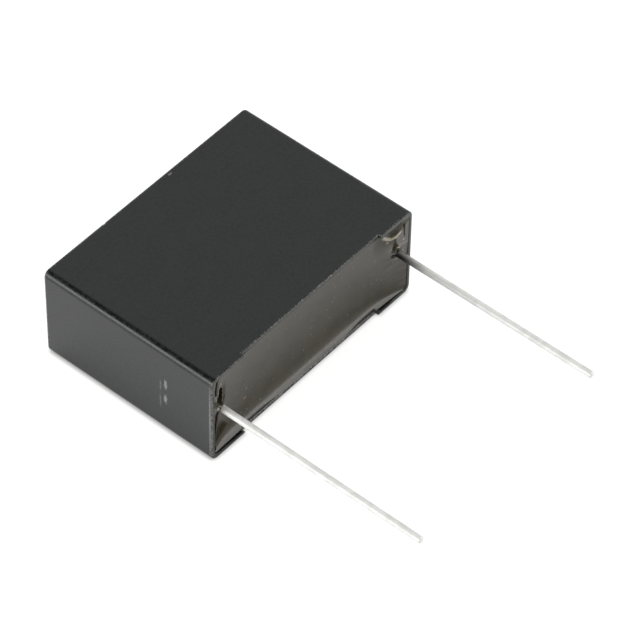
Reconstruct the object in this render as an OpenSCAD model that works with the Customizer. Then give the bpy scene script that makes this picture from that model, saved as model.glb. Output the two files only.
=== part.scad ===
// Radial box film capacitor, lying on one of its two large sides.
// X runs along the row of leads, the leads leave the case along -Y, and Z points up.
// The origin is the middle of the large side that the case lies on.

/* [Case] */
// Length of the case, along the row of leads
case_l = 31; // [26:0.1:36]
// Depth of the case, from its feet to its closed end
case_h = 22.5; // [18:0.1:32]
// Thickness of the case, between its two large sides
case_w = 12; // [10:0.1:18]
// Wall of the two large sides
side_wall = 0.5; // [0.4:0.05:1.2]
// Wall of the two ends
end_wall = 0.5; // [0.4:0.05:1.2]
// Wall of the closed end
floor_wall = 1.2; // [0.6:0.05:2.5]
// Radius of the four edges that run from the feet to the closed end
edge_r = 0.8; // [0.3:0.05:1.4]
// Radius round the closed end
closed_r = 0.3; // [0.1:0.05:0.8]
// Radius round the outside of the open rim
rim_r = 0.15; // [0.05:0.05:0.3]
// Radius of the lower long wall's inner edge, between the feet
lip_r = 0.35; // [0.1:0.05:0.45]
// Radius of the four corners inside the pocket
pocket_r = 0.6; // [0.2:0.05:0.8]

/* [Stand-off feet] */
// Length of each corner foot along the large side
foot_len = 5; // [2:0.1:8]
// Height of the feet above the long walls between them
foot_h = 0.4; // [0.2:0.05:0.8]

/* [Potting resin] */
// Depth of the resin's flat middle under the feet
resin_drop = 1.55; // [1.3:0.05:2.2]
// Gap between the cut-back rim and the line where the resin ends on the wall
resin_edge_gap = 0.05; // [0.02:0.01:0.2]
// Width of the resin's edge where it ends on the wall
resin_land = 0.1; // [0.05:0.01:0.2]
// Radius of the curve in which the resin climbs the walls
meniscus_r = 5; // [3:0.1:6]
// Radius of the small collar of resin round each lead
collar_r = 0.4; // [0.2:0.05:0.5]
// Width of the collar's edge where it ends on the lead
collar_rim = 0.08; // [0.04:0.02:0.2]
// Resin over the winding, on the terminal side
resin_cover = 1.8; // [1:0.1:4]
// Resin between the winding and the case
winding_gap = 0.5; // [0.2:0.05:1]

/* [Hollows in the resin] */
// Width of the long pit above the left lead
pit_w = 0.8; // [0.4:0.1:1.2]
// Length of the long pit above the left lead
pit_len = 2.2; // [1.4:0.1:3]
// Distance from the left lead's axis up to the middle of the pit
pit_rise = 1.55; // [1.2:0.05:2]
// Distance from the left lead's axis inwards to the middle of the pit
pit_in = 0.25; // [0.2:0.05:1]
// Radius of the round hollow in the corner above the right lead
hollow_r = 1.6; // [1.2:0.1:2]
// Distance from the end wall to the middle of the round hollow
hollow_in = 2.5; // [2.2:0.1:3.2]
// Distance from the upper long wall to the middle of the round hollow
hollow_drop = 0.8; // [0.5:0.1:1.4]

/* [Leads] */
// Distance from each end of the case to its lead's axis, which sets the pitch of the leads
lead_inset = 1.75; // [1.7:0.05:3]
// Diameter of the tinned wire
lead_d = 0.8; // [0.5:0.05:1]
// Length of the left lead outside, from the feet to its tip
left_lead_len = 25.4; // [3:0.1:40]
// Length of the right lead outside, from the feet to its tip
right_lead_len = 24.9; // [3:0.1:40]
// How far the leads lie above the middle of the case's thickness
lead_shift = 0.6; // [-1:0.05:1]
// Chamfer that the cutter leaves round each lead's tip
tip_chamfer = 0.1; // [0.05:0.01:0.2]
// Thickness of the dipped tin on the wire's outer stretch, which thins out to nothing at its root
dip_t = 0.02; // [0.005:0.005:0.03]
// Distance from the feet to the line where the tin starts to thin out
dip_gap = 0.3; // [0.1:0.05:1.5]

/* [Welded contacts] */
// Thickness of the sprayed metal on each end of the winding
spray_t = 0.5; // [0.3:0.05:0.8]
// Length of wire that lies welded on the sprayed metal
weld_len = 9; // [4:0.5:13]
// Thickness of the wire where it is pressed flat for the weld
weld_t = 0.5; // [0.3:0.05:0.7]
// Width of the wire where it is pressed flat for the weld
weld_w = 1.1; // [0.8:0.05:1.5]
// How deep the flattened wire sinks into the sprayed metal
weld_sink = 0.1; // [0.05:0.01:0.2]
// Length over which the wire goes from round to flat
weld_lap = 0.3; // [0.1:0.05:0.6]

/* [Hidden] */
$fn = 64;

// How far a cut runs past the surface that it opens
cut = 1;

// Places along Y: the feet, the rim between them, the closed end and the pocket's floor
feet_y = -case_h / 2;
rim_y = feet_y + foot_h;
closed_y = case_h / 2;
floor_y = closed_y - floor_wall;

// The pocket and the middle of the case's thickness
mid_z = case_w / 2;
pocket_l = case_l - 2 * end_wall;
pocket_w = case_w - 2 * side_wall;

// The resin's surface: its highest line on the walls, its flat middle and the climb between
resin_edge_y = rim_y + resin_edge_gap;
resin_flat_y = feet_y + resin_drop;
climb = resin_flat_y - resin_edge_y;
climb_run = sqrt(pow(meniscus_r, 2) - pow(meniscus_r - climb, 2));
climb_start = resin_land + climb_run;

// The leads, and where the resin stands beside them
lead_pitch = case_l - 2 * lead_inset;
lead_x = lead_pitch / 2;
lead_z = mid_z + lead_shift;
lead_wall_gap = pocket_l / 2 - lead_x;
lead_resin_y = resin_flat_y - climb_at(lead_wall_gap);

// The winding fills the pocket between the sprayed ends that the leads are welded to
spray_x = lead_x - weld_t / 2 + weld_sink;
winding_l = 2 * (spray_x - spray_t);
winding_w = pocket_w - 2 * winding_gap;
winding_low_y = resin_flat_y + resin_cover;
winding_high_y = floor_y - winding_gap;

// Height of the resin over its flat middle, at a distance from a wall
function climb_at(gap) =
    gap >= climb_start ? 0 : meniscus_r - sqrt(pow(meniscus_r, 2) - pow(climb_start - gap, 2));

// Extrudes an outline drawn as (z, y) along X, to both sides of the middle
module along_x(length) {
    rotate([0, -90, 0])
        linear_extrude(length, center = true)
            children();
}

// Extrudes an outline drawn as (x, z) along Y, from low to high
module along_y(low, high) {
    translate([0, high, 0])
        rotate([90, 0, 0])
            linear_extrude(high - low)
                children();
}

// What a round corner of radius r leaves off, at the lower left corner of a rectangle
module corner_waste(r) {
    difference() {
        translate([-cut, -cut])
            square(r + cut);
        translate([r, r])
            circle(r);
    }
}

// Rectangle about the origin, with one radius on its lower corners and one on its upper corners
module rounded_rectangle(width, height, low_r, high_r) {
    difference() {
        square([width, height], center = true);
        for (side = [0, 1])
            mirror([side, 0]) {
                translate([-width / 2, -height / 2])
                    corner_waste(low_r);
                mirror([0, 1])
                    translate([-width / 2, -height / 2])
                        corner_waste(high_r);
            }
    }
}

// Outer form of the case, with all its edges rounded
module case_block() {
    intersection() {
        along_y(feet_y, closed_y)
            translate([0, mid_z])
                rounded_rectangle(case_l, case_w, edge_r, edge_r);
        along_x(case_l)
            translate([mid_z, 0])
                rounded_rectangle(case_w, case_h, rim_r, closed_r);
        linear_extrude(case_w)
            rounded_rectangle(case_l, case_h, rim_r, closed_r);
    }
}

// Inside of the case, from a plane near the feet to the pocket's floor
module pocket(low) {
    along_y(low, floor_y)
        translate([0, mid_z])
            rounded_rectangle(pocket_l, pocket_w, pocket_r, pocket_r);
}

// Takes the long walls back between the feet
module rim_cut() {
    translate([foot_len - case_l / 2, feet_y - cut, -cut])
        cube([case_l - 2 * foot_len, foot_h + cut, case_w + 2 * cut]);
}

// Rounds the inner edge of the lower long wall between the feet
module lip_cut() {
    along_x(case_l - 2 * foot_len)
        translate([side_wall, rim_y])
            mirror([1, 0])
                corner_waste(lip_r);
}

// Space over the resin, across a pocket of this span: flat in the middle, climbing at the walls
module dish_outline(span) {
    flat = span - 2 * climb_start;
    translate([0, resin_flat_y]) {
        translate([-flat / 2, -meniscus_r])
            square([flat, meniscus_r]);
        for (side = [-1, 1])
            translate([side * flat / 2, -meniscus_r])
                circle(meniscus_r);
    }
}

// Dished space over the resin, climbing at all four walls
module dish() {
    intersection() {
        along_x(case_l)
            translate([mid_z, 0])
                dish_outline(pocket_w);
        linear_extrude(case_w)
            dish_outline(pocket_l);
    }
}

// Concave collar of resin that climbs a lead
module collar() {
    ring_r = lead_d / 2 + collar_rim;
    rotate([90, 0, 0])
        rotate_extrude()
            difference() {
                translate([0, -collar_r])
                    square([ring_r + collar_r, 2 * collar_r]);
                translate([ring_r + collar_r, collar_r])
                    circle(collar_r);
            }
}

// Long pit beside the left lead, with round ends
module long_pit() {
    straight = pit_len - pit_w;
    translate([pit_in - lead_x, lead_resin_y, lead_z + pit_rise - straight / 2]) {
        cylinder(h = straight, d = pit_w);
        sphere(d = pit_w);
        translate([0, 0, straight])
            sphere(d = pit_w);
    }
}

// Round hollow in the corner above the right lead
module corner_hollow() {
    translate([pocket_l / 2 - hollow_in, resin_edge_y, mid_z + pocket_w / 2 - hollow_drop])
        sphere(hollow_r);
}

// Outline of the flattened roll: flat sides and round ends
module winding_outline() {
    half_w = winding_w / 2;
    translate([mid_z - half_w, winding_low_y + half_w])
        square([winding_w, winding_high_y - winding_low_y - winding_w]);
    for (end_y = [winding_low_y + half_w, winding_high_y - half_w])
        translate([mid_z, end_y])
            circle(half_w);
}

// Flattened roll together with its sprayed ends
module wound_block() {
    along_x(2 * spray_x)
        winding_outline();
}

// Half section of the round stretch, from its tip: chamfer, dipped stretch and tapered root
module wire_section(length) {
    tinned_r = lead_d / 2;
    plain_r = tinned_r - dip_t;
    root = length + winding_low_y - feet_y;
    polygon([
        [0, 0],
        [tinned_r - tip_chamfer, 0],
        [tinned_r, tip_chamfer],
        [tinned_r, length - dip_gap],
        [plain_r, root],
        [0, root],
    ]);
}

// Wire on the right side, with its inner end pressed flat for the weld
module wire(length) {
    translate([lead_x, 0, lead_z]) {
        translate([0, feet_y - length, 0])
            rotate([-90, 0, 0])
                rotate_extrude()
                    wire_section(length);
        translate([-weld_t / 2, winding_low_y - weld_lap, -weld_w / 2])
            cube([weld_t, weld_len + weld_lap, weld_w]);
    }
}

// Sprayed metal on the right end of the winding, with the groove that the wire melted into it
module end_spray(length) {
    difference() {
        translate([spray_x - spray_t / 2, 0, 0])
            along_x(spray_t)
                winding_outline();
        wire(length);
    }
}

// Moulded box, open on the terminal side
module case() {
    color("#2b2d2d")
        difference() {
            case_block();
            pocket(feet_y - cut);
            rim_cut();
            lip_cut();
        }
}

// Cast resin that fills the case round the winding and the leads
module potting_resin() {
    color("#4b4742")
        difference() {
            union() {
                difference() {
                    pocket(resin_edge_y);
                    dish();
                    long_pit();
                    corner_hollow();
                }
                intersection() {
                    pocket(feet_y);
                    for (side = [-1, 1])
                        translate([side * lead_x, lead_resin_y, lead_z])
                            collar();
                }
            }
            wound_block();
            wire(right_lead_len);
            mirror([1, 0, 0])
                wire(left_lead_len);
        }
}

// Flattened roll of metallised film
module film_winding() {
    color("#b8b2a6")
        along_x(winding_l)
            winding_outline();
}

// Sprayed contact on the left end
module end_spray_left() {
    color("#8d9092")
        mirror([1, 0, 0])
            end_spray(left_lead_len);
}

// Sprayed contact on the right end
module end_spray_right() {
    color("#8d9092")
        end_spray(right_lead_len);
}

// Left lead
module lead_left() {
    color("#c8cbcd")
        mirror([1, 0, 0])
            wire(left_lead_len);
}

// Right lead
module lead_right() {
    color("#c8cbcd")
        wire(right_lead_len);
}

case();
potting_resin();
film_winding();
end_spray_left();
end_spray_right();
lead_left();
lead_right();
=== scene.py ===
"""Box film capacitor: a black moulded case, cast resin and two tinned leads, around its solids.

The case, the resin and the leads are modelled here in finer form than the solids they stand for.
The roll of film and its sprayed ends lie sealed inside, and keep their solids.
"""

from __future__ import annotations

import logging
import math
from dataclasses import dataclass, field
from enum import Enum
from typing import Iterable

import bmesh
import bpy
from mathutils import Matrix, Vector, noise


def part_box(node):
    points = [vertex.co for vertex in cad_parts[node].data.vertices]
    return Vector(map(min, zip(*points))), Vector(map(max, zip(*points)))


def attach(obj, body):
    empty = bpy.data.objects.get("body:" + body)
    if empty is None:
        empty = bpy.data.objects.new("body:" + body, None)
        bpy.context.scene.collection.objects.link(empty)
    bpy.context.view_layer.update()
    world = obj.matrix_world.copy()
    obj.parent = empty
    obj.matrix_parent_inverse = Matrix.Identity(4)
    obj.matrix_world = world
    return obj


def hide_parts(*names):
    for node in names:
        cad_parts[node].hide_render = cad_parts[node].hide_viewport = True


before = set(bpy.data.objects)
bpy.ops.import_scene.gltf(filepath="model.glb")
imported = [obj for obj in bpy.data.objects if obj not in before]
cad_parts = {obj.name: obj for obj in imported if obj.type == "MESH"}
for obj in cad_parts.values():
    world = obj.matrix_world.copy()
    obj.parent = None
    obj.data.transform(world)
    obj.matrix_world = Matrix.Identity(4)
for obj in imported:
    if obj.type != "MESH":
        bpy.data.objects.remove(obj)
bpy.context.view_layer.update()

MM = 0.001
BODY = "root"
IMAGE_PX = 640
SLACK = 1e-4
# Least cosine between an edge and an axis that it is parallel to
PARALLEL = 0.999
# Range that most of a noise lies in, and range of a share
MOST = (0.3, 0.7)
WHOLE = (0.0, 1.0)
# Shares that the meshes carry for their finishes
# Edges paler from wear, and painted paler as a highlight where the light catches them
RUBBED_AND_HIGHLIGHT = "rubbed_and_highlight"
# Painted highlights of glints, beads and the crescent in the resin, and dust motes
HIGHLIGHT_AND_DUST = "pale"
# Painted shade in the resin's cracks, pits, slot and along the lower rim
PAINTED_SHADE = "dark"
# Painted reflection of the dark case at the root of a lead
PAINTED_REFLECTION = "painted_reflection"

log = logging.getLogger("film_capacitor")

Socket = bpy.types.NodeSocket
Tree = bpy.types.NodeTree
BMesh = bmesh.types.BMesh
BMEdge = bmesh.types.BMEdge
BMVert = bmesh.types.BMVert
BMFace = bmesh.types.BMFace
Section = tuple[float, float, float]
Span = tuple[float, float]
Colour = tuple[float, float, float, float]


class Axis(Enum):
    """Axes of the shared frame."""

    X = 0
    Y = 1
    Z = 2


class Side(Enum):
    """End of the case that a lead belongs to, as its sign along X."""

    LEFT = -1
    RIGHT = 1


def linear(hex_colour: str) -> Colour:
    """Turns an sRGB hex colour into linear light.

    Args:
        hex_colour: Colour as "#rrggbb".

    Returns:
        Red, green, blue and an alpha of 1.
    """
    parts = [int(hex_colour[at : at + 2], 16) / 255 for at in (1, 3, 5)]
    light = [p / 12.92 if p <= 0.04045 else ((p + 0.055) / 1.055) ** 2.4 for p in parts]
    return (*light, 1.0)


def smooth_step(low: float, high: float, value: float) -> float:
    """Rises smoothly from 0 at low to 1 at high.

    Args:
        low: Value at which the step starts.
        high: Value at which the step ends, above or below low.
        value: Where the step is read.

    Returns:
        A share from 0 to 1.
    """
    share = min(1.0, max(0.0, (value - low) / (high - low)))
    return share * share * (3 - 2 * share)


def add_node(tree: Tree, kind: str, sockets: dict | None = None, **options: object) -> bpy.types.Node:
    """Adds a node, sets its options and fills its sockets.

    Args:
        tree: Node tree that gets the node.
        kind: Blender's type name, without its ShaderNode prefix.
        sockets: Input names or numbers, each with a value or with the output that is linked to it.
        options: Attributes of the node.

    Returns:
        The new node.
    """
    node = tree.nodes.new(f"ShaderNode{kind}")
    for name, value in options.items():
        setattr(node, name, value)
    for name, value in (sockets or {}).items():
        if isinstance(value, Socket):
            tree.links.new(value, node.inputs[name])
        else:
            node.inputs[name].default_value = value
    return node


def empty_tree(owner: bpy.types.Material | bpy.types.World) -> Tree:
    """Gives a material or a world its own nodes, with none in place yet.

    Args:
        owner: What the nodes are for.

    Returns:
        The empty node tree.
    """
    owner.use_nodes = True
    owner.node_tree.nodes.clear()
    return owner.node_tree


def calc(tree: Tree, operation: str, first: Socket, second: Socket | float) -> Socket:
    """Combines two values: by their product, their sum or the larger one."""
    return add_node(tree, "Math", {0: first, 1: second}, operation=operation).outputs[0]


def mix(tree: Tree, share: Socket | float, under: Socket | float, over: Socket | float) -> Socket:
    """Mixes two values, by the share of the second one."""
    return add_node(tree, "Mix", {0: share, 2: under, 3: over}).outputs[0]


def add_object(name: str, data: bpy.types.ID) -> bpy.types.Object:
    """Adds an object to the scene.

    Args:
        name: Name of the object.
        data: Its mesh, lamp or camera.

    Returns:
        The new object.
    """
    made = bpy.data.objects.new(name, data)
    bpy.context.scene.collection.objects.link(made)
    return made


def bearing(azimuth: float, elevation: float) -> Vector:
    """Finds the direction in which something stands, as seen from the part.

    Args:
        azimuth: Degrees around the part, from its front to its right.
        elevation: Degrees above the floor.

    Returns:
        The direction, of length 1.
    """
    a = math.radians(azimuth)
    e = math.radians(elevation)
    return Vector((math.sin(a) * math.cos(e), -math.cos(a) * math.cos(e), math.sin(e)))


@dataclass(frozen=True)
class Block:
    """Lowest and highest corner of a solid, in millimetres."""

    low: Vector
    high: Vector

    @classmethod
    def of_node(cls, node: str) -> Block:
        """Reads the block of a node of the frame."""
        low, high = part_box(node)
        return cls(low / MM, high / MM)

    @property
    def size(self) -> Vector:
        """Lengths of the three sides."""
        return self.high - self.low

    @property
    def middle(self) -> Vector:
        """Centre of the block."""
        return (self.low + self.high) / 2


def block_of(node: str) -> Block:
    """Field of a dataclass that holds the block of a node."""
    return field(default_factory=lambda: Block.of_node(node))


@dataclass(frozen=True)
class Finish:
    """A real material, how its surface was made, and the record's slot for it."""

    name: str
    slot: str
    colour: str
    roughness: float
    metallic: float = 0.0
    ior: float = 1.5
    smoother: float = 0.04
    rougher: float = 0.06

    def material(self) -> bpy.types.Material:
        """Makes the material: one shader, dressed by the finish's own pattern.

        Returns:
            The finished material.
        """
        material = bpy.data.materials.new(self.name)
        tree = empty_tree(material)
        sockets = {
            "Base Color": linear(self.colour),
            "Roughness": self.roughness,
            "Metallic": self.metallic,
            "IOR": self.ior,
            **self.pattern(tree),
        }
        shader = add_node(tree, "BsdfPrincipled", sockets)
        add_node(tree, "OutputMaterial", {"Surface": shader.outputs[0]})
        return material

    def pattern(self, tree: Tree) -> dict[str, Socket]:
        """Adds the finish's own pattern.

        Args:
            tree: Node tree of the material.

        Returns:
            The shader's inputs that the pattern feeds.
        """
        raise NotImplementedError

    @staticmethod
    def place(tree: Tree) -> Socket:
        """Object coordinates, in metres."""
        return add_node(tree, "TexCoord").outputs["Object"]

    @staticmethod
    def painted(tree: Tree, name: str) -> Socket:
        """Reads a share that the mesh carries."""
        return add_node(tree, "Attribute", attribute_name=name).outputs["Fac"]

    def uneven(self, tree: Tree, value: Socket, start: Span = MOST) -> Socket:
        """Spreads the roughness around its own value, over a range of the noise."""
        end = (self.roughness - self.smoother, self.roughness + self.rougher)
        return self.spread(tree, value, start, end)

    @staticmethod
    def cloud(tree: Tree, place: Socket, grain_mm: float, detail: float = 3.0) -> Socket:
        """Adds soft noise whose blotches are about one grain across.

        Args:
            tree: Node tree of the material.
            place: Coordinates, in metres.
            grain_mm: Size of a blotch, in millimetres.
            detail: Octaves of finer noise.

        Returns:
            The noise, about 0.5 on average.
        """
        sockets = {"Vector": place, "Scale": 1 / (grain_mm * MM), "Detail": detail}
        return add_node(tree, "TexNoise", sockets).outputs["Fac"]

    @staticmethod
    def spread(tree: Tree, value: Socket, start: Span, end: Span = WHOLE) -> Socket:
        """Maps a value from one range to another, smoothly and within its limits.

        Args:
            tree: Node tree of the material.
            value: What is mapped.
            start: Range that the value comes from.
            end: Range that it goes to.

        Returns:
            The mapped value.
        """
        sockets = {0: value, 1: start[0], 2: start[1], 3: end[0], 4: end[1]}
        return add_node(tree, "MapRange", sockets, interpolation_type="SMOOTHSTEP").outputs[0]

    @staticmethod
    def tint(tree: Tree, share: Socket, under: Socket | str, over: str) -> Socket:
        """Mixes two colours.

        Args:
            tree: Node tree of the material.
            share: Share of the second colour.
            under: First colour, already mixed or as hex.
            over: Second colour, as hex.

        Returns:
            The mixed colour.
        """
        first = linear(under) if isinstance(under, str) else under
        sockets = {0: share, 6: first, 7: linear(over)}
        return add_node(tree, "Mix", sockets, data_type="RGBA").outputs[2]

    @staticmethod
    def relief(tree: Tree, height: Socket, depth_mm: float, below: Socket | None = None) -> Socket:
        """Turns a height from 0 to 1 into a bumped normal.

        Args:
            tree: Node tree of the material.
            height: Height of the surface, from 0 to 1.
            depth_mm: Depth of the relief, in millimetres.
            below: Normal that the relief is added to.

        Returns:
            The bumped normal.
        """
        sockets = {"Height": height, "Distance": depth_mm * MM, "Strength": 1.0}
        if below is not None:
            sockets["Normal"] = below
        return add_node(tree, "Bump", sockets).outputs[0]


@dataclass(frozen=True)
class Scuff:
    """A small mark: its middle and its half lengths along each axis, in millimetres, and its colour."""

    middle: tuple[float, float, float]
    reach: tuple[float, float, float]
    strength: float
    colour: str = "#a4a6a3"
    fade: Span = (0.8, 1.5)

    def mask(self, tree: Tree, place: Socket, ragged: Socket) -> Socket:
        """Adds a soft mask that is 1 in the middle of the mark.

        Args:
            tree: Node tree of the material.
            place: Coordinates, in metres.
            ragged: Noise that frays the mark's edge.

        Returns:
            The mask.
        """
        scale = [1 / (reach * MM) for reach in self.reach]
        shift = [-middle * MM * one for middle, one in zip(self.middle, scale)]
        local = add_node(tree, "Mapping", {0: place, 1: shift, 3: scale}).outputs[0]
        radius = add_node(tree, "VectorMath", {0: local}, operation="LENGTH").outputs["Value"]
        frayed = calc(tree, "ADD", radius, ragged)
        return Finish.spread(tree, frayed, self.fade, (self.strength, 0.0))


@dataclass(frozen=True)
class MouldedPlastic(Finish):
    """Black PBT, moulded in a spark-eroded tool: a dark satin face, its edges paler from wear and painted
    paler still as a highlight where the light catches them.
    """

    name: str = "moulded_black_pbt"
    slot: str = "case_plastic"
    colour: str = "#0d100f"
    roughness: float = 0.28
    ior: float = 1.46
    rougher: float = 0.08
    bloom: str = "#1e2321"
    # Paler colour of the edges, for wear and as a painted highlight on the lit edges
    rubbed_and_highlight: str = "#7c7e77"
    rubbed_and_highlight_span: Span = (0.35, 0.65)
    grain_mm: float = 0.16
    grain_depth_mm: float = 0.003
    mottle_mm: float = 0.4
    mottle_detail: float = 2.0
    mottle_span: Span = (0.36, 0.64)
    patch_mm: float = 2.4
    patch_detail: float = 5.0
    patch_share: float = 0.3
    frayed: Span = (-0.35, 0.45)
    scuffs: tuple[Scuff, ...] = (
        Scuff((-15.5, -5.12, 7.1), (0.5, 0.18, 0.52), 0.6),
        Scuff((-15.5, -5.07, 4.93), (0.5, 0.18, 0.52), 0.6),
        Scuff((-15.5, -4.44, 6.6), (0.5, 0.1, 0.6), 0.22),
        Scuff((-15.5, -4.39, 4.4), (0.5, 0.1, 0.8), 0.22),
        Scuff((2.98, 10.69, 12.0), (0.25, 0.1, 0.5), 0.4),
        # Pale line along the front edge of the left wall: a painted highlight of that edge
        Scuff((-15.5, -10.98, 5.8), (0.3, 0.1, 4.6), 0.4),
        Scuff((-15.2, -11.25, 6.45), (0.2, 0.3, 0.25), 0.9, "#4a2019"),
    )

    def pattern(self, tree: Tree) -> dict[str, Socket]:
        """Adds spark-eroded grain, faint tool-polish patches, edges paler from wear and painted highlight,
        and marks.

        Args:
            tree: Node tree of the material.

        Returns:
            The shader's inputs that the pattern feeds.
        """
        place = self.place(tree)
        grain = self.cloud(tree, place, self.grain_mm)
        patches = self.cloud(tree, place, self.patch_mm, self.patch_detail)
        mottle = self.cloud(tree, place, self.mottle_mm, self.mottle_detail)
        both = mix(tree, self.patch_share, mottle, patches)
        faint = self.spread(tree, both, self.mottle_span)
        colour = self.tint(tree, faint, self.colour, self.bloom)
        # Edges painted paler, for wear and as a painted highlight
        patchy = calc(tree, "MULTIPLY", self.painted(tree, RUBBED_AND_HIGHLIGHT), grain)
        worn_and_highlight = self.spread(tree, patchy, self.rubbed_and_highlight_span)
        colour = self.tint(tree, worn_and_highlight, colour, self.rubbed_and_highlight)
        ragged = self.spread(tree, grain, MOST, self.frayed)
        for scuff in self.scuffs:
            colour = self.tint(tree, scuff.mask(tree, place, ragged), colour, scuff.colour)
        return {
            "Base Color": colour,
            "Roughness": self.uneven(tree, both, self.mottle_span),
            "Normal": self.relief(tree, grain, self.grain_depth_mm),
        }


@dataclass(frozen=True)
class CastEpoxy(Finish):
    """Dark potting epoxy, poured and cured: brown-black soft gloss, slow ripples, specks of dust."""

    name: str = "cast_potting_epoxy"
    slot: str = "potting_epoxy"
    colour: str = "#2a2411"
    roughness: float = 0.19
    cloudy: str = "#352e1a"
    dust: str = "#8f8c84"
    # Cream of the painted glints, beads and crescent, and of dust motes
    highlight_and_dust: str = "#b5ae96"
    # Near black of the painted shade in cracks, pits, slot and along the lower rim
    gap: str = "#070605"
    gap_roughness: float = 0.8
    ripple_mm: float = 1.7
    ripple_detail: float = 2.0
    ripple_depth_mm: float = 0.012
    skin_mm: float = 0.35
    skin_depth_mm: float = 0.001
    speck_cell_mm: float = 0.7
    speck_share: float = 0.15
    speck_strength: float = 0.8

    def pattern(self, tree: Tree) -> dict[str, Socket]:
        """Adds the cloudy colour, the dust, the flaws' painted highlights and painted shade, and the
        rippled skin.

        Args:
            tree: Node tree of the material.

        Returns:
            The shader's inputs that the pattern feeds.
        """
        place = self.place(tree)
        ripple = self.cloud(tree, place, self.ripple_mm, self.ripple_detail)
        skin = self.cloud(tree, place, self.skin_mm)
        colour = self.tint(tree, self.spread(tree, ripple, MOST), self.colour, self.cloudy)
        sockets = {"Vector": place, "Scale": 1 / (self.speck_cell_mm * MM)}
        gaps = add_node(tree, "TexVoronoi", sockets).outputs["Distance"]
        specks = self.spread(tree, gaps, (0.0, self.speck_share), (self.speck_strength, 0.0))
        colour = self.tint(tree, specks, colour, self.dust)
        # Painted highlights of glints, beads and the crescent, and dust motes, in cream
        colour = self.tint(tree, self.painted(tree, HIGHLIGHT_AND_DUST), colour, self.highlight_and_dust)
        # Painted shade in cracks, pits, slot and along the lower rim: near black and rough
        dark = self.painted(tree, PAINTED_SHADE)
        slow = self.relief(tree, ripple, self.ripple_depth_mm)
        return {
            "Base Color": self.tint(tree, dark, colour, self.gap),
            "Roughness": mix(tree, dark, self.uneven(tree, skin), self.gap_roughness),
            "Normal": self.relief(tree, skin, self.skin_depth_mm, slow),
        }


@dataclass(frozen=True)
class TinnedCopper(Finish):
    """Copper wire, drawn and hot-tinned: near-white satin metal with faint lines along its length."""

    name: str = "tinned_copper_wire"
    slot: str = "tinned_copper"
    colour: str = "#f6f6f3"
    roughness: float = 0.5
    metallic: float = 0.2
    dull: str = "#e8e8e4"
    dull_span: Span = (0.4, 0.7)
    # Dark colour painted near the root of a lead: a painted reflection of the dark case
    film: str = "#1c1915"
    reflection_roughness: float = 0.2
    line_mm: float = 0.09
    line_length_mm: float = 6.0
    line_depth_mm: float = 0.004
    blotch_mm: float = 1.3

    def pattern(self, tree: Tree) -> dict[str, Socket]:
        """Adds drawing lines along the wire, blotches of duller tin and, at the root, a painted dark
        reflection of the case.

        Args:
            tree: Node tree of the material.

        Returns:
            The shader's inputs that the pattern feeds.
        """
        place = self.place(tree)
        scale = (1 / self.line_mm, 1 / self.line_length_mm, 1 / self.line_mm)
        stretched = add_node(tree, "Mapping", {0: place, 3: [one / MM for one in scale]}).outputs[0]
        lines = add_node(tree, "TexNoise", {"Vector": stretched, "Scale": 1.0}).outputs["Fac"]
        blotches = self.cloud(tree, place, self.blotch_mm)
        dull = self.spread(tree, blotches, self.dull_span)
        colour = self.tint(tree, dull, self.colour, self.dull)
        # Painted reflection of the dark case near the root, smoother than the tin
        film = self.painted(tree, PAINTED_REFLECTION)
        return {
            "Base Color": self.tint(tree, film, colour, self.film),
            "Roughness": mix(tree, film, self.uneven(tree, blotches), self.reflection_roughness),
            "Normal": self.relief(tree, lines, self.line_depth_mm),
        }


@dataclass(frozen=True)
class MetallisedFilm(Finish):
    """Clear film with a thin layer of metal, wound tight: silvery, with fine lines between turns."""

    name: str = "wound_metallised_film"
    slot: str = "metallised_film"
    colour: str = "#b8b2a6"
    roughness: float = 0.3
    metallic: float = 0.6
    seam: str = "#8c867b"
    turn_mm: float = 0.25
    waver: float = 0.4

    def pattern(self, tree: Tree) -> dict[str, Socket]:
        """Adds bands for the turns, as coarse as they need to be to show.

        Args:
            tree: Node tree of the material.

        Returns:
            The shader's inputs that the pattern feeds.
        """
        scale = 1 / (self.turn_mm * MM)
        sockets = {"Vector": self.place(tree), "Scale": scale, "Distortion": self.waver}
        bands = add_node(tree, "TexWave", sockets, bands_direction="Z").outputs["Fac"]
        return {"Base Color": self.tint(tree, bands, self.seam, self.colour)}


@dataclass(frozen=True)
class SprayedZinc(Finish):
    """Zinc, flame-sprayed on the roll's ends: grey and grainy, like fine sandpaper."""

    name: str = "flame_sprayed_zinc"
    slot: str = "sprayed_zinc"
    colour: str = "#8d9092"
    roughness: float = 0.62
    metallic: float = 1.0
    pore: str = "#5e6163"
    pore_span: Span = (0.35, 0.6)
    grain_mm: float = 0.12
    grain_depth_mm: float = 0.03

    def pattern(self, tree: Tree) -> dict[str, Socket]:
        """Adds the sprayed grain and its darker pores.

        Args:
            tree: Node tree of the material.

        Returns:
            The shader's inputs that the pattern feeds.
        """
        grain = self.cloud(tree, self.place(tree), self.grain_mm)
        pores = self.spread(tree, grain, self.pore_span)
        return {
            "Base Color": self.tint(tree, pores, self.pore, self.colour),
            "Normal": self.relief(tree, grain, self.grain_depth_mm),
        }


def rounded_prism(bm: BMesh, block: Block, axis: Axis, radius: float, segments: int) -> None:
    """Adds a block whose four edges along one axis are rounded.

    Args:
        bm: Mesh that gets the prism.
        block: Outer size and place.
        axis: Axis that the rounded edges run along.
        radius: Radius of those edges.
        segments: Steps of each round.
    """
    verts = bmesh.ops.create_cube(bm, size=1.0)["verts"]
    bmesh.ops.scale(bm, vec=block.size, verts=verts)
    bmesh.ops.translate(bm, vec=block.middle, verts=verts)
    edges = {edge for vert in verts for edge in vert.link_edges}
    round_edges(bm, [edge for edge in edges if runs_along(edge, axis)], radius, segments)


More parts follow.
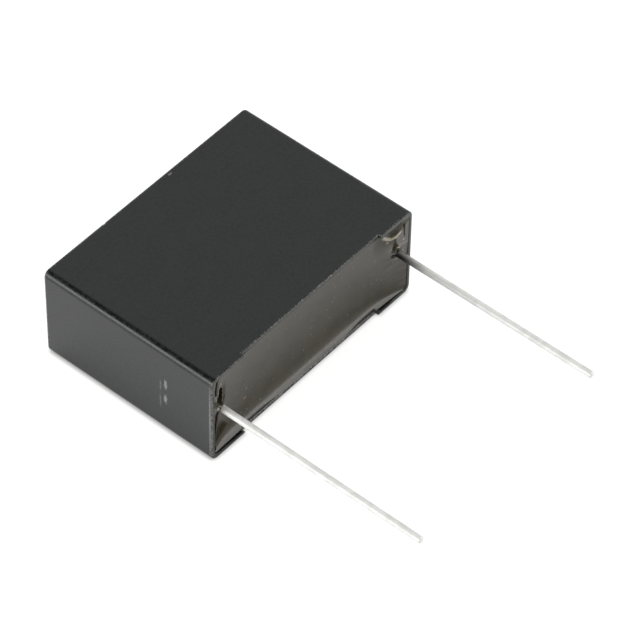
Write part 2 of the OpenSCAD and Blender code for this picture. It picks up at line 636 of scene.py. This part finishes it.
def round_edges(bm: BMesh, edges: list[BMEdge], radius: float, segments: int) -> list[BMFace]:
    """Rounds edges to a radius.

    Args:
        bm: Mesh that holds the edges.
        edges: Edges to round.
        radius: Radius of the round.
        segments: Steps of the round.

    Returns:
        The faces of the round.
    """
    made = bmesh.ops.bevel(
        bm,
        geom=edges,
        offset=radius,
        offset_type="OFFSET",
        affect="EDGES",
        segments=segments,
        profile=0.5,
        material=-1,
        clamp_overlap=True,
    )
    return made["faces"]


def runs_along(edge: BMEdge, axis: Axis) -> bool:
    """Tells whether an edge is parallel to an axis."""
    run = (edge.verts[0].co - edge.verts[1].co).normalized()
    return abs(run[axis.value]) > PARALLEL


def faces_at(bm: BMesh, y: float) -> list[BMFace]:
    """Lists the faces that lie flat at one place along Y."""
    return [f for f in bm.faces if all(abs(v.co.y - y) < SLACK for v in f.verts)]


def extrude(bm: BMesh, faces: list[BMFace]) -> tuple[list[BMVert], list[BMFace]]:
    """Draws faces out of a solid, in place, and drops the ones they leave behind.

    Args:
        bm: Mesh that holds the faces.
        faces: Faces to draw out.

    Returns:
        The vertices and the faces of the new end, still where the old ones were.
    """
    made = bmesh.ops.extrude_face_region(bm, geom=faces)["geom"]
    bmesh.ops.delete(bm, geom=faces, context="FACES_ONLY")
    return [v for v in made if isinstance(v, BMVert)], [f for f in made if isinstance(f, BMFace)]


def extrude_rim(bm: BMesh, edges: list[BMEdge]) -> tuple[list[BMVert], list[BMEdge]]:
    """Draws a sheet's rim out, in place.

    Args:
        bm: Mesh that holds the rim.
        edges: Edges of the rim.

    Returns:
        The vertices and the edges of the new rim.
    """
    made = bmesh.ops.extrude_edge_only(bm, edges=edges)["geom"]
    verts = [item for item in made if isinstance(item, BMVert)]
    return verts, [item for item in made if isinstance(item, BMEdge) and item.is_boundary]


def cut_across(bm: BMesh, x: float) -> None:
    """Cuts the faces of a mesh at a place along X, and keeps both sides."""
    geom = [*bm.verts, *bm.edges, *bm.faces]
    bmesh.ops.bisect_plane(bm, geom=geom, dist=SLACK, plane_co=(x, 0, 0), plane_no=(1, 0, 0))


def make_piece(bm: BMesh, name: str, node: str, finish: Finish, sharp: float) -> bpy.types.Object:
    """Turns a mesh into a finished piece that rides with the part and stands for its node.

    Args:
        bm: Mesh in millimetres, which is used up.
        name: Name of the piece.
        node: Node that the piece stands for.
        finish: Finish of its surface.
        sharp: Least angle of an edge that shows as sharp, in degrees.

    Returns:
        The new object, in metres.
    """
    bmesh.ops.recalc_face_normals(bm, faces=bm.faces)
    bmesh.ops.scale(bm, vec=(MM, MM, MM), verts=bm.verts)
    mesh = bpy.data.meshes.new(name)
    bm.to_mesh(mesh)
    bm.free()
    mesh.materials.append(finish.material())
    mesh.shade_smooth()
    mesh.set_sharp_from_angle(angle=math.radians(sharp))
    piece = add_object(name, mesh)
    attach(piece, BODY)
    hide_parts(node)
    log.info("%s: %d faces, stands for %s", name, len(mesh.polygons), node)
    return piece


@dataclass
class CaseShell:
    """Moulded box, open on the terminal side, with a stand-off foot at each corner. In millimetres."""

    finish: Finish = field(default_factory=MouldedPlastic)
    block: Block = block_of("case")
    resin: Block = block_of("potting_resin")
    edge_radius: float = 0.8
    pocket_radius: float = 0.6
    closed_radius: float = 0.3
    rim_radius: float = 0.15
    lip_radius: float = 0.35
    # Shares of paler paint on the lip and the top edges, for wear and as a painted highlight
    lip_rubbing_and_highlight: float = 0.9
    top_rubbing_and_highlight: float = 0.85
    foot_length: float = 5.0
    foot_height: float = 0.4
    round_steps: int = 8
    bevel_steps: int = 4
    nick_x: float = -6.5
    nick_width: float = 0.2
    nick_depth: float = 0.07
    sharp_angle: float = 50.0
    corner_angle: float = 60.0

    @property
    def rim_y(self) -> float:
        """Place of the rim between the feet."""
        return self.block.low.y + self.foot_height

    @property
    def foot_x(self) -> float:
        """Place where the right feet end."""
        return self.block.high.x - self.foot_length

    def build(self) -> None:
        """Models the case and dresses it."""
        bm = bmesh.new()
        walls = Block(Vector((self.block.low.x, self.rim_y, self.block.low.z)), self.block.high)
        rounded_prism(bm, walls, Axis.Y, self.edge_radius, self.round_steps)
        self.sink_pocket(bm)
        self.raise_feet(bm)
        self.soften(bm)
        self.nick(bm)
        piece = make_piece(bm, "moulded_case", "case", self.finish, self.sharp_angle)
        piece.modifiers.new("flat_faces", "WEIGHTED_NORMAL").keep_sharp = True

    def sink_pocket(self, bm: BMesh) -> None:
        """Insets the front face to the pocket's outline and sinks it to the pocket's floor.

        Args:
            bm: Mesh of the case.
        """
        inner, mouth = extrude(bm, faces_at(bm, self.rim_y))
        for vert in inner:
            vert.co = self.inner_corner(vert.co)
        floor, _ = extrude(bm, mouth)
        bmesh.ops.translate(bm, vec=(0, self.resin.high.y - self.rim_y, 0), verts=floor)

    def inner_corner(self, outer: Vector) -> Vector:
        """Finds the point of the pocket's outline that belongs to a point of the case's outline.

        Args:
            outer: Point on the rounded outline of the case.

        Returns:
            The point on the pocket's outline, at the same turn of the same corner.
        """
        point = outer.copy()
        for axis in (Axis.X.value, Axis.Z.value):
            sign = math.copysign(1.0, outer[axis] - self.block.middle[axis])
            centre = self.block.middle[axis] + sign * (self.block.size[axis] / 2 - self.edge_radius)
            inside = self.resin.middle[axis] + sign * (self.resin.size[axis] / 2 - self.pocket_radius)
            point[axis] = inside + (outer[axis] - centre) * self.pocket_radius / self.edge_radius
        return point

    def raise_feet(self, bm: BMesh) -> None:
        """Cuts the rim where the feet end and raises what lies outside the cuts.

        Args:
            bm: Mesh of the case.
        """
        for side in Side:
            cut_across(bm, side.value * self.foot_x)
        rim = faces_at(bm, self.rim_y)
        feet = [face for face in rim if abs(face.calc_center_median().x) > self.foot_x]
        raised, _ = extrude(bm, feet)
        bmesh.ops.translate(bm, vec=(0, -self.foot_height, 0), verts=raised)

    def soften(self, bm: BMesh) -> None:
        """Rounds the closed end, the rim and the lip of the lower long wall, and paints the rounds paler,
        for wear and as a painted highlight.

        Args:
            bm: Mesh of the case.
        """
        bmesh.ops.recalc_face_normals(bm, faces=bm.faces)
        rubbed_and_highlight = bm.faces.layers.float.new(RUBBED_AND_HIGHLIGHT)
        corners = [edge for edge in bm.edges if self.is_corner(edge)]
        closed = [edge for edge in corners if self.within(edge, self.block.high.y, math.inf)]
        front = [edge for edge in corners if self.within(edge, -math.inf, self.rim_y)]
        lips = [edge for edge in front if self.is_lip(edge)]
        rims = [edge for edge in front if not self.is_lip(edge)]
        # The lip's round is painted pale: a painted highlight of the lip, and its wear
        for face in round_edges(bm, lips, self.lip_radius, self.bevel_steps):
            face[rubbed_and_highlight] = self.lip_rubbing_and_highlight
        for edges, radius in ((closed, self.closed_radius), (rims, self.rim_radius)):
            for face in round_edges(bm, [e for e in edges if e.is_valid], radius, self.bevel_steps):
                face[rubbed_and_highlight] = self.rubbing_and_highlight(face.calc_center_median())

    def is_corner(self, edge: BMEdge) -> bool:
        """Tells whether an edge is a sharp outer corner."""
        least = math.radians(self.corner_angle)
        return len(edge.link_faces) == 2 and edge.calc_face_angle_signed() > least

    @staticmethod
    def within(edge: BMEdge, low: float, high: float) -> bool:
        """Tells whether an edge lies between two places along Y."""
        return all(low - SLACK < vert.co.y < high + SLACK for vert in edge.verts)

    def is_lip(self, edge: BMEdge) -> bool:
        """Tells whether an edge is the inner edge of the lower long wall, between the feet."""
        inside = all(abs(vert.co.z - self.resin.low.z) < SLACK for vert in edge.verts)
        return inside and all(abs(vert.co.x) < self.foot_x + SLACK for vert in edge.verts)

    def rubbing_and_highlight(self, place: Vector) -> float:
        """Tells how much paler an edge is painted, for wear and as a painted highlight: most at the ends,
        less at the top, not below or inside.

        Args:
            place: Point on the edge.

        Returns:
            A share from 0 to 1.
        """
        if place.z < self.edge_radius:
            return 0.0
        if abs(place.x) > self.resin.high.x + self.rim_radius:
            return 1.0
        return self.top_rubbing_and_highlight if place.z > self.resin.high.z + self.rim_radius else 0.0

    def nick(self, bm: BMesh) -> None:
        """Presses a small nick into the upper edge of the closed end.

        Args:
            bm: Mesh of the case.
        """
        for share in (-1, 0, 1):
            cut_across(bm, self.nick_x + share * self.nick_width)
        corner = Vector((self.nick_x, self.block.high.y, self.block.high.z))
        pressed = [vert for vert in bm.verts if (vert.co - corner).length < self.nick_width]
        bmesh.ops.translate(bm, vec=(0, -self.nick_depth, -self.nick_depth), verts=pressed)


@dataclass(frozen=True, kw_only=True)
class Flaw:
    """A small flaw in the resin's skin: its depth, below zero for a bead, and its shares of painted
    highlight with dust and of painted shade.
    """

    depth: float
    pale: float = 0.0
    dark: float = 0.0

    def share(self, x: float, z: float) -> float:
        """Tells how much of the flaw reaches a point of the skin.

        Args:
            x: Place along the row of leads.
            z: Height over the floor.

        Returns:
            1 in the middle, falling to 0 at the flaw's edge.
        """
        raise NotImplementedError


@dataclass(frozen=True, kw_only=True)
class Dimple(Flaw):
    """A round or oval flaw. In millimetres."""

    x: float
    z: float
    reach_x: float
    reach_z: float
    soft: float = 0.6

    def share(self, x: float, z: float) -> float:
        """Falls off from the middle of the oval, over the soft share of its reach."""
        radius = math.hypot((x - self.x) / self.reach_x, (z - self.z) / self.reach_z)
        return smooth_step(1.0, 1.0 - self.soft, radius)


@dataclass(frozen=True, kw_only=True)
class Groove(Flaw):
    """A flaw along a line of points. In millimetres."""

    route: tuple[tuple[float, float], ...]
    reach: float

    def share(self, x: float, z: float) -> float:
        """Falls off with the distance from the line."""
        stretches = zip(self.route, self.route[1:])
        return smooth_step(self.reach, 0.0, min(self.gap(x, z, start, end) for start, end in stretches))

    @staticmethod
    def gap(x: float, z: float, start: tuple[float, float], end: tuple[float, float]) -> float:
        """Finds the distance from a point to a stretch of the line.

        Args:
            x: Place of the point along the row of leads.
            z: Height of the point over the floor.
            start: Start of the stretch.
            end: End of the stretch.

        Returns:
            The distance.
        """
        run_x = end[0] - start[0]
        run_z = end[1] - start[1]
        along = ((x - start[0]) * run_x + (z - start[1]) * run_z) / (run_x**2 + run_z**2)
        along = min(1.0, max(0.0, along))
        return math.hypot(x - start[0] - along * run_x, z - start[1] - along * run_z)


@dataclass
class PottingFill:
    """Cast resin: dished, climbing walls and leads, with flaws at its two ends. In millimetres."""

    leads: list[WireLead]
    finish: Finish = field(default_factory=CastEpoxy)
    block: Block = block_of("potting_resin")
    case: Block = block_of("case")
    columns: int = 320
    rows: int = 130
    pocket_radius: float = 0.6
    foot_x: float = 10.5
    flat_depth: float = 1.55
    rim_depth: float = 0.45
    foot_depth: float = 0.31
    left_depth: float = 0.5
    right_depth: float = 0.12
    least_depth: float = 0.05
    low_reach: float = 1.2
    foot_blend: float = 2.0
    high_reach: float = 0.7
    left_reach: float = 3.5
    right_reach: float = 4.5
    blend: float = 5.0
    collar_reach: float = 0.3
    streak_depth: float = 0.05
    streak_length: float = 2.0
    streaks_per_mm: float = 1.5
    streak_start: float = 11.0
    streak_full: float = 14.0
    sharp_angle: float = 60.0
    flaws: tuple[Flaw, ...] = (
        # Low mound, pit painted dark as shade, and the bead in it painted pale as a highlight, at the left
        # lead
        Dimple(x=-14.3, z=8.3, reach_x=2.6, reach_z=4.0, depth=-0.4, soft=1.0),
        Dimple(x=-13.72, z=8.15, reach_x=0.66, reach_z=1.05, depth=1.1, soft=0.25, dark=0.95),
        Dimple(x=-13.55, z=7.9, reach_x=0.28, reach_z=0.7, depth=-0.5, pale=0.25),
        # Upper crack with its bead, and lower crack, along the left wall: the cracks painted dark as
        # shade, the bead painted pale as a highlight
        Groove(
            route=((-13.4, 10.6), (-14.05, 10.4), (-14.4, 9.8), (-14.55, 9.2)),
            reach=0.2,
            depth=0.7,
            dark=1.0,
        ),
        Groove(
            route=((-13.0, 10.1), (-13.7, 9.8), (-14.1, 9.3), (-14.25, 8.7)),
            reach=0.24,
            depth=-0.1,
            pale=0.25,
        ),
        Groove(
            route=((-14.2, 6.4), (-13.95, 5.6), (-13.85, 4.75), (-14.1, 3.7), (-14.35, 2.4), (-14.6, 0.9)),
            reach=0.28,
            depth=0.9,
            dark=1.0,
        ),
        # Small beads and specks at the left end, painted pale: painted glints and dust
        Dimple(x=-14.38, z=7.0, reach_x=0.22, reach_z=0.25, depth=-0.1, pale=0.9),
        Dimple(x=-13.33, z=9.5, reach_x=0.16, reach_z=0.18, depth=-0.05, pale=0.7),
        Dimple(x=-8.8, z=4.4, reach_x=0.16, reach_z=0.16, depth=-0.03, pale=0.35),
        Dimple(x=-9.1, z=3.15, reach_x=0.2, reach_z=0.18, depth=-0.04, pale=0.5),
        # Dark lines along the lower rim: painted shade where the resin meets the wall
        Groove(route=((-10.4, 0.58), (-7.0, 0.56), (-4.5, 0.4)), reach=0.14, depth=0.06, dark=0.7),
        Groove(route=((5.5, 0.4), (8.0, 0.58), (10.4, 0.62)), reach=0.14, depth=0.06, dark=0.7),
        # Low mound, hollow, crescent painted pale as a highlight, and slot painted dark as shade, in the
        # right corner
        Dimple(x=13.4, z=9.3, reach_x=3.0, reach_z=2.9, depth=-0.6, soft=1.0),
        Dimple(x=12.75, z=11.05, reach_x=1.45, reach_z=1.3, depth=0.22, soft=0.7),
        Groove(
            route=((11.65, 10.22), (12.03, 9.92), (12.4, 9.78), (13.07, 9.86), (13.67, 10.05)),
            reach=0.26,
            depth=-0.14,
            pale=1.0,
        ),
        Groove(route=((14.27, 10.68), (14.32, 9.05)), reach=0.18, depth=0.3, dark=1.0),
        # Small painted glints, and pits painted dark as shade, around the right lead
        Dimple(x=12.04, z=9.45, reach_x=0.18, reach_z=0.14, depth=-0.1, pale=1.0),
        Dimple(x=13.6, z=7.75, reach_x=0.34, reach_z=0.24, depth=-0.14, pale=1.0),
        Dimple(x=14.25, z=8.55, reach_x=0.18, reach_z=0.14, depth=-0.1, pale=1.0),
        Dimple(x=13.2, z=7.45, reach_x=0.32, reach_z=0.32, depth=0.25, dark=0.95),
        Dimple(x=13.2, z=6.45, reach_x=0.3, reach_z=0.3, depth=0.25, dark=0.95),
    )

    def build(self) -> None:
        """Models the resin and dresses it."""
        bm = bmesh.new()
        pale = bm.verts.layers.float.new(HIGHLIGHT_AND_DUST)
        dark = bm.verts.layers.float.new(PAINTED_SHADE)
        bmesh.ops.create_grid(bm, x_segments=self.columns, y_segments=self.rows, size=1.0)
        for vert in bm.verts:
            x, z = self.spot(vert.co.x, vert.co.y)
            shares = [(flaw, flaw.share(x, z)) for flaw in self.flaws]
            depth = self.skin(x, z) + sum(flaw.depth * share for flaw, share in shares)
            vert.co = (x, self.case.low.y + max(self.least_depth, depth), z)
            # Share of painted highlight and dust
            vert[pale] = max(flaw.pale * share for flaw, share in shares)
            # Share of painted shade
            vert[dark] = max(flaw.dark * share for flaw, share in shares)
        back, rim = extrude_rim(bm, [edge for edge in bm.edges if edge.is_boundary])
        for vert in back:
            vert.co.y = self.block.high.y
        bmesh.ops.edgeloop_fill(bm, edges=rim)
        make_piece(bm, "cast_resin", "potting_resin", self.finish, self.sharp_angle)

    def spot(self, across: float, up: float) -> tuple[float, float]:
        """Finds the place of a grid point within the pocket. The points crowd towards the walls.

        Args:
            across: Share of the way along the row of leads, from -1 to 1.
            up: Share of the way up, from -1 to 1.

        Returns:
            The place along the row of leads and the height over the floor.
        """
        half = self.block.size / 2
        x = half.x * math.sin(across * math.pi / 2)
        z = half.z * math.sin(up * math.pi / 2)
        # Shares of the way into the square around a rounded corner, which is pressed into the round
        a = (abs(x) - half.x) / self.pocket_radius + 1
        b = (abs(z) - half.z) / self.pocket_radius + 1
        if a > 0 and b > 0:
            x -= math.copysign(a - a * math.sqrt(1 - b * b / 2), x) * self.pocket_radius
            z -= math.copysign(b - b * math.sqrt(1 - a * a / 2), z) * self.pocket_radius
        return x, z + self.block.middle.z

    def skin(self, x: float, z: float) -> float:
        """Finds how deep the resin's skin lies under the feet, without its flaws.

        Args:
            x: Place along the row of leads.
            z: Height over the floor.

        Returns:
            The depth.
        """
        foot = smooth_step(self.foot_x - self.foot_blend, self.foot_x + self.foot_blend, abs(x))
        edge = self.rim_depth + (self.foot_depth - self.rim_depth) * foot
        walls = (
            (x - self.block.low.x, self.left_depth, self.left_reach),
            (self.block.high.x - x, self.right_depth, self.right_reach),
            (z - self.block.low.z, edge, self.low_reach),
            (self.block.high.z - z, edge, self.high_reach),
        )
        climbs = [(self.flat_depth - top) * math.exp(-gap / reach) for gap, top, reach in walls]
        climb = sum(one**self.blend for one in climbs) ** (1 / self.blend)
        streaks = noise.noise(Vector((x / self.streak_length, 0.0, z * self.streaks_per_mm)))
        streaks *= smooth_step(self.streak_start, self.streak_full, x)
        return self.flat_depth - climb - self.collar(x, z) + self.streak_depth * streaks

    def collar(self, x: float, z: float) -> float:
        """Finds how far the resin climbs a lead.

        Args:
            x: Place along the row of leads.
            z: Height over the floor.

        Returns:
            The climb.
        """
        lead = min(self.leads, key=lambda one: abs(one.axis.x - x))
        gap = math.hypot(x - lead.axis.x, z - lead.axis.z) - lead.diameter / 2
        return lead.collar * math.exp(-max(0.0, gap) / self.collar_reach)


@dataclass
class WireLead:
    """Straight tinned wire, cut at its tip and pressed flat at its weld inside. In millimetres."""

    side: Side
    finish: Finish = field(default_factory=TinnedCopper)
    case: Block = block_of("case")
    diameter: float = 0.8
    tip_chamfer: float = 0.1
    weld_length: float = 9.0
    weld_lap: float = 0.3
    weld_thickness: float = 0.5
    weld_width: float = 1.1
    ring_step: float = 0.5
    uneven: float = 0.006
    uneven_length: float = 3.0
    facets: int = 32
    sharp_angle: float = 40.0
    collar: float = 0.25
    # Reach of the painted reflection of the dark case, and how much lighter its top is painted where the
    # light falls
    reflection_length: float = 0.0
    reflection_fade: float = 3.6
    lit_top_share: float = 0.45
    lit_top_power: int = 4
    block: Block = field(init=False)
    axis: Vector = field(init=False)

    def __post_init__(self) -> None:
        """Reads the lead's place."""
        self.block = Block.of_node(self.node)
        self.axis = self.block.middle

    @property
    def node(self) -> str:
        """Node that this lead stands for."""
        return f"lead_{self.side.name.lower()}"

    def sections(self) -> list[Section]:
        """Lists the wire's sections from its tip: place along Y, half width along X and along Z.

        Returns:
            The sections.
        """
        block = self.block
        radius = self.diameter / 2
        weld_y = block.high.y - self.weld_length
        first = block.low.y + self.tip_chamfer
        count = round((weld_y - self.weld_lap - first) / self.ring_step)
        sections = [(block.low.y, radius - self.tip_chamfer, radius - self.tip_chamfer)]
        for index in range(count + 1):
            y = first + index * (weld_y - self.weld_lap - first) / count
            bump = noise.noise(Vector((self.side.value, y / self.uneven_length, 0.0)))
            wide = radius + self.uneven * bump
            sections.append((y, wide, wide))
        for y in (weld_y, block.high.y):
            sections.append((y, self.weld_thickness / 2, self.weld_width / 2))
        return sections

    def build(self) -> None:
        """Models the lead and dresses it."""
        bm = bmesh.new()
        painted_reflection = bm.verts.layers.float.new(PAINTED_REFLECTION)
        tip, *others = self.sections()
        bmesh.ops.create_circle(bm, cap_ends=True, segments=self.facets, radius=1.0)
        turn = Matrix.Rotation(math.radians(90), 4, "X")
        bmesh.ops.transform(bm, matrix=turn, verts=bm.verts)
        ring = list(bm.verts)
        edges = list(bm.edges)
        rim = [vert.co.copy() for vert in ring]
        self.place_ring(ring, rim, tip)
        for section in others:
            ring, edges = extrude_rim(bm, edges)
            self.place_ring(ring, rim, section)
        bmesh.ops.edgeloop_fill(bm, edges=edges)
        for vert in bm.verts:
            # Painted reflection of the dark case near the root
            vert[painted_reflection] = self.film(vert.co)
        make_piece(bm, f"tinned_{self.node}", self.node, self.finish, self.sharp_angle)

    def film(self, place: Vector) -> float:
        """Tells how dark a place on the wire is painted near the root, as a reflection of the dark case.
        The top is painted lighter, where the light falls.

        Args:
            place: Point on the wire.

        Returns:
            A share from 0 to 1.
        """
        if not self.reflection_length:
            return 0.0
        end = self.case.low.y - self.reflection_length
        top = max(0.0, place.z - self.axis.z) * 2 / self.diameter
        lit_top = self.lit_top_share * top**self.lit_top_power
        return smooth_step(end - self.reflection_fade, end, place.y) * (1 - lit_top)

    def place_ring(self, ring: list[BMVert], rim: list[Vector], section: Section) -> None:
        """Moves a ring of vertices to a section of the wire.

        Args:
            ring: Vertices of the ring.
            rim: Their places on a ring of radius 1.
            section: Place along Y, half width along X and along Z.
        """
        y, half_x, half_z = section
        for vert, one in zip(ring, rim):
            vert.co = (self.axis.x + one.x * half_x, y, self.axis.z + one.z * half_z)


@dataclass(frozen=True)
class SoftBox:
    """Studio lamp: where it stands as seen from the part, its size, and its brightness, 1 for white."""

    name: str
    azimuth: float
    elevation: float
    distance: float
    width: float
    height: float
    radiance: float

    def build(self, aim: Vector) -> None:
        """Adds the lamp, turned to the part.

        Args:
            aim: Point that the lamp faces.
        """
        lamp = bpy.data.lights.new(self.name, "AREA")
        lamp.shape = "RECTANGLE"
        lamp.size = self.width
        lamp.size_y = self.height
        lamp.energy = self.radiance * math.pi * self.width * self.height
        stand = add_object(self.name, lamp)
        away = bearing(self.azimuth, self.elevation)
        stand.location = aim + away * self.distance
        stand.rotation_euler = away.to_track_quat("Z", "Y").to_euler()
        stand.visible_camera = False


@dataclass
class Studio:
    """Pale floor, white surroundings and soft lamps."""

    floor_size: float = 3.0
    floor_colour: str = "#bcbcba"
    glow: float = 0.8
    contact_shade_reach: float = 0.5 * MM
    shade_reach: float = 6 * MM
    shine: float = 1.03
    shade_lean: tuple[float, float, float] = (0.0, 0.8, 0.6)
    sky: float = 0.68
    ceiling: float = 0.12
    ceiling_span: Span = (0.05, 0.45)
    lamps: tuple[SoftBox, ...] = (
        SoftBox("overhead_softbox", 128.0, 46.0, 0.7, 0.6, 0.6, 0.75),
        SoftBox("left_back_strip", 244.0, 15.0, 0.6, 0.5, 0.28, 5.0),
        SoftBox("front_right_softbox", 32.0, 15.0, 0.6, 0.4, 0.32, 3.1),
    )

    def build(self, aim: Vector) -> None:
        """Adds the floor, the surroundings and the lamps.

        Args:
            aim: Middle of the part.
        """
        self.lay_floor()
        self.light_surroundings()
        for lamp in self.lamps:
            lamp.build(aim)
        bpy.context.scene.view_settings.view_transform = "Standard"

    @staticmethod
    def mirrored_rays(tree: Tree) -> Socket:
        """Share that is 1 for rays that were mirrored or went through glass."""
        rays = add_node(tree, "LightPath").outputs
        return calc(tree, "MAXIMUM", rays["Is Glossy Ray"], rays["Is Transmission Ray"])

    def background_rays(self, tree: Tree) -> Socket:
        """Share that is 1 for rays that see the background, straight or mirrored."""
        straight = add_node(tree, "LightPath").outputs["Is Camera Ray"]
        return calc(tree, "MAXIMUM", straight, self.mirrored_rays(tree))

    def lay_floor(self) -> None:
        """Lays a pale floor that shows white and keeps the part's shadow. Its glow is darkened near the
        part by ambient occlusion, as a painted shadow.
        """
        bm = bmesh.new()
        bmesh.ops.create_grid(bm, x_segments=1, y_segments=1, size=self.floor_size / 2)
        mesh = bpy.data.meshes.new("floor")
        bm.to_mesh(mesh)
        bm.free()
        material = bpy.data.materials.new("pale_floor")
        tree = empty_tree(material)
        matt = add_node(tree, "BsdfDiffuse", {"Color": linear(self.floor_colour)}).outputs[0]
        # Painted shadow: ambient occlusion darkens the glow near the part, wide and leaned in mirrored
        # rays, a thin contact shadow where the camera sees the floor
        lean = add_node(tree, "CombineXYZ", dict(enumerate(self.shade_lean))).outputs[0]
        sockets = {"Distance": self.shade_reach, "Normal": lean}
        shade = add_node(tree, "AmbientOcclusion", sockets).outputs["AO"]
        mirrored = calc(tree, "MULTIPLY", shade, self.shine)
        straight = add_node(tree, "AmbientOcclusion", {"Distance": self.contact_shade_reach}).outputs["AO"]
        share = mix(tree, self.mirrored_rays(tree), straight, mirrored)
        level = calc(tree, "MULTIPLY", share, self.glow)
        strength = calc(tree, "MULTIPLY", self.background_rays(tree), level)
        glow = add_node(tree, "Emission", {"Strength": strength}).outputs[0]
        both = add_node(tree, "AddShader", {0: matt, 1: glow}).outputs[0]
        add_node(tree, "OutputMaterial", {"Surface": both})
        mesh.materials.append(material)
        floor = add_object("floor", mesh)

    def light_surroundings(self) -> None:
        """Sets the surroundings: white where the camera sees them, dimmer as a light."""
        world = bpy.data.worlds.new("surroundings")
        bpy.context.scene.world = world
        tree = empty_tree(world)
        way = add_node(tree, "TexCoord").outputs["Generated"]
        height = add_node(tree, "SeparateXYZ", {0: way}).outputs["Z"]
        seen = Finish.spread(tree, height, self.ceiling_span, (1.0, self.ceiling))
        level = mix(tree, self.background_rays(tree), self.sky, seen)
        back = add_node(tree, "Background", {"Strength": level}).outputs[0]
        add_node(tree, "OutputWorld", {"Surface": back})


@dataclass(frozen=True)
class PhotoCamera:
    """Camera of the photograph: where it stands and how long its lens is."""

    azimuth: float = -50.545
    elevation: float = 48.316
    roll: float = 1.178
    distance: float = 417.040 * MM
    focal_px: float = 4042.067
    shift_right: float = 9.317 * MM
    shift_up: float = -0.059 * MM
    sensor_mm: float = 36.0
    nearest: float = 10 * MM

    def build(self) -> None:
        """Adds the camera and makes it the scene's own."""
        back = bearing(self.azimuth, self.elevation)
        level = bearing(self.azimuth + 90, 0.0)
        turn = Matrix.Rotation(math.radians(self.roll), 3, back)
        right = turn @ level
        up = turn @ back.cross(level)
        data = bpy.data.cameras.new("photo_camera")
        data.sensor_width = self.sensor_mm
        data.lens = self.focal_px * self.sensor_mm / IMAGE_PX
        data.clip_start = self.nearest
        camera = add_object("photo_camera", data)
        stand = right * self.shift_right + up * self.shift_up + back * self.distance
        pose = Matrix((right, up, back)).transposed().to_4x4()
        camera.matrix_world = Matrix.Translation(stand) @ pose
        bpy.context.scene.camera = camera


def dress_inside() -> None:
    """Gives the sealed inner solids their own finishes."""
    film = MetallisedFilm().material()
    zinc = SprayedZinc().material()
    for node, material in (("film_winding", film), ("end_spray_left", zinc), ("end_spray_right", zinc)):
        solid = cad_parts[node]
        solid.data.materials.clear()
        solid.data.materials.append(material)
        log.info("%s: dressed in %s", node, material.name)


def main() -> None:
    """Builds the camera, the studio and every piece of the part."""
    logging.basicConfig(level=logging.INFO, format="%(name)s: %(message)s")
    PhotoCamera().build()
    Studio().build(Block.of_node("case").middle * MM)
    CaseShell().build()
    # The right lead carries a painted reflection of the dark case at its root
    leads = [WireLead(Side.LEFT, collar=0.5), WireLead(Side.RIGHT, reflection_length=0.4)]
    PottingFill(leads).build()
    for lead in leads:
        lead.build()
    dress_inside()


if __name__ == "__main__":
    main()
